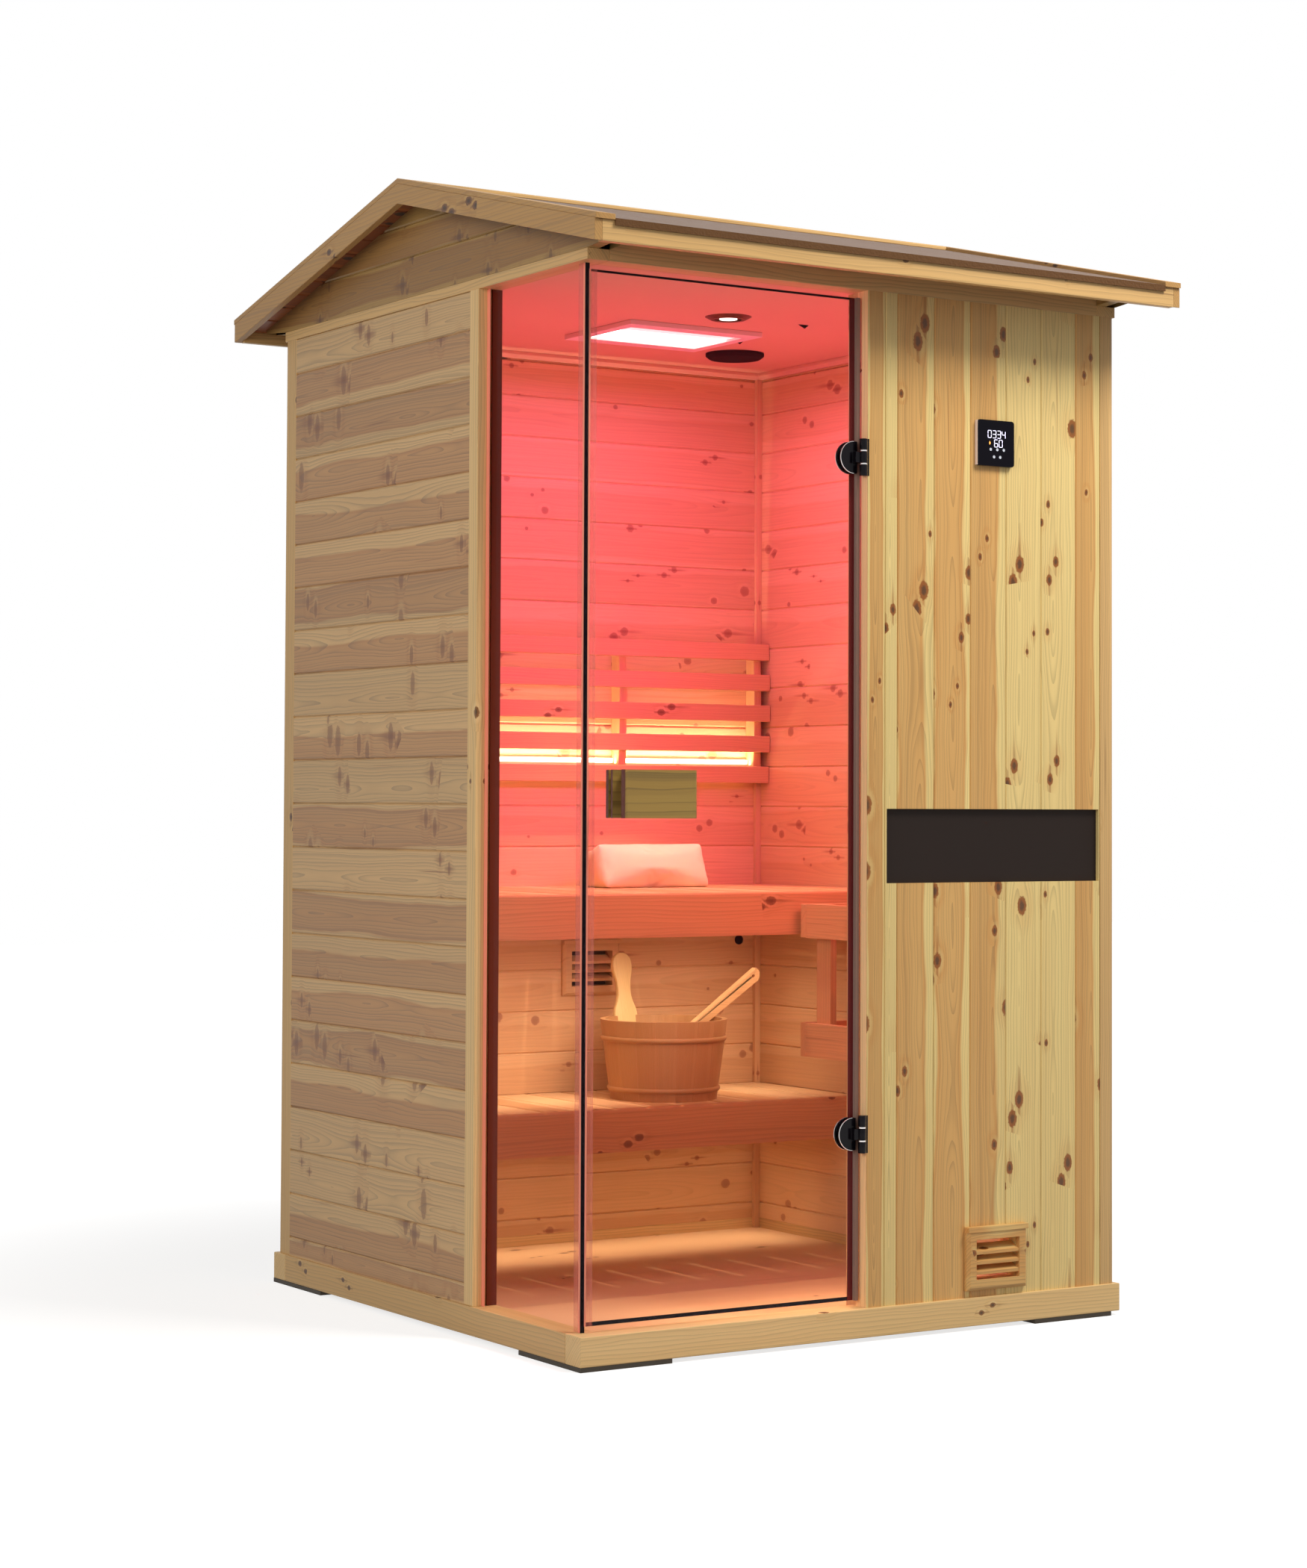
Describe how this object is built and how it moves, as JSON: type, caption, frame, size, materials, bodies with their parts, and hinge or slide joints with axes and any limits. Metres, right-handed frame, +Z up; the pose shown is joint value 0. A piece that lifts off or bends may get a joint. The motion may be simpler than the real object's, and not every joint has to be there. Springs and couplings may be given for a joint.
{
  "type": "outdoor sauna cabin",
  "caption": "Small square wooden sauna cabin with a gable roof, a glass door hinged on a post wall, a fixed glass side pane, two slatted benches and a backrest.",
  "frame": {"origin": "bottom centre of the cabin's outer box, on the ground", "axes": "+X to the right along the front wall, +Y to the back, +Z up; the ridge runs along X"},
  "size_m": [1.304, 1.436, 2.14],
  "materials": {
    "pad_plastic": "matte",
    "frame_wood": "oiled softwood",
    "floor_wood": "bare board",
    "wall_wood": "tongued boards",
    "black_glass": "gloss",
    "roof_skin": "satin",
    "clear_glass": "clear",
    "seal_rubber": "clear seal",
    "hinge_chrome": "black chrome",
    "handle_wood": "oiled",
    "vent_wood": "sanded",
    "bench_wood": "sanded hardwood",
    "light_plastic": "opal",
    "lamp_metal": "satin",
    "speaker_plastic": "matte",
    "bucket_wood": "waxed",
    "pillow_cloth": "woven"
  },
  "bodies": {
    "cabin": {"foot_pads": "pad_plastic", "base_end_boards": "frame_wood", "base_side_boards": "frame_wood", "floor_panel": "floor_wood", "left_wall": "wall_wood", "right_wall": "wall_wood", "back_wall": "wall_wood", "front_wall": "wall_wood", "inset_panel": "black_glass", "corner_posts": "frame_wood", "window_post": "frame_wood", "side_friezes": "frame_wood", "end_friezes": "frame_wood", "gable_left": "wall_wood", "gable_right": "wall_wood", "ceiling_panel": "wall_wood", "roof_boards_front": "frame_wood", "roof_boards_back": "frame_wood", "eaves_boards": "frame_wood", "rake_boards": "frame_wood", "rake_trims": "frame_wood", "roof_sheet": "roof_skin", "ridge_cap": "frame_wood", "side_glass": "clear_glass", "hinge_leaves": "hinge_chrome", "front_vent": "vent_wood", "back_vent": "vent_wood", "control_panel": "black_glass", "upper_bench_slats": "bench_wood", "upper_bench_apron": "bench_wood", "lower_bench_slats": "bench_wood", "lower_bench_apron": "bench_wood", "backrest_ribs": "bench_wood", "backrest_boards": "bench_wood", "light_strip": "light_plastic", "guard_side_rails": "bench_wood", "guard_back_rails": "bench_wood", "guard_post": "bench_wood", "ceiling_lamp_frame": "lamp_metal", "ceiling_lamp_lens": "light_plastic", "downlight": "lamp_metal", "ceiling_speaker": "speaker_plastic", "inner_corner_battens": "bench_wood", "door_jamb_trim": "bench_wood", "ceiling_coves": "bench_wood", "bucket": "bucket_wood", "ladle": "bucket_wood", "pillow": "pillow_cloth"},
    "door": {"door_glass": "clear_glass", "door_seals": "seal_rubber", "hinge_clamps": "hinge_chrome", "hinge_back_plates": "hinge_chrome", "handle_outer": "handle_wood", "handle_inner": "handle_wood"}
  },
  "joints": [
    {"name": "door_hinge", "type": "hinge", "parent": "cabin", "child": "door", "pos_m": [-0.0015, -0.59, 0.96], "axis": [0, 0, 1], "range_deg": [0, 95]}
  ]
}
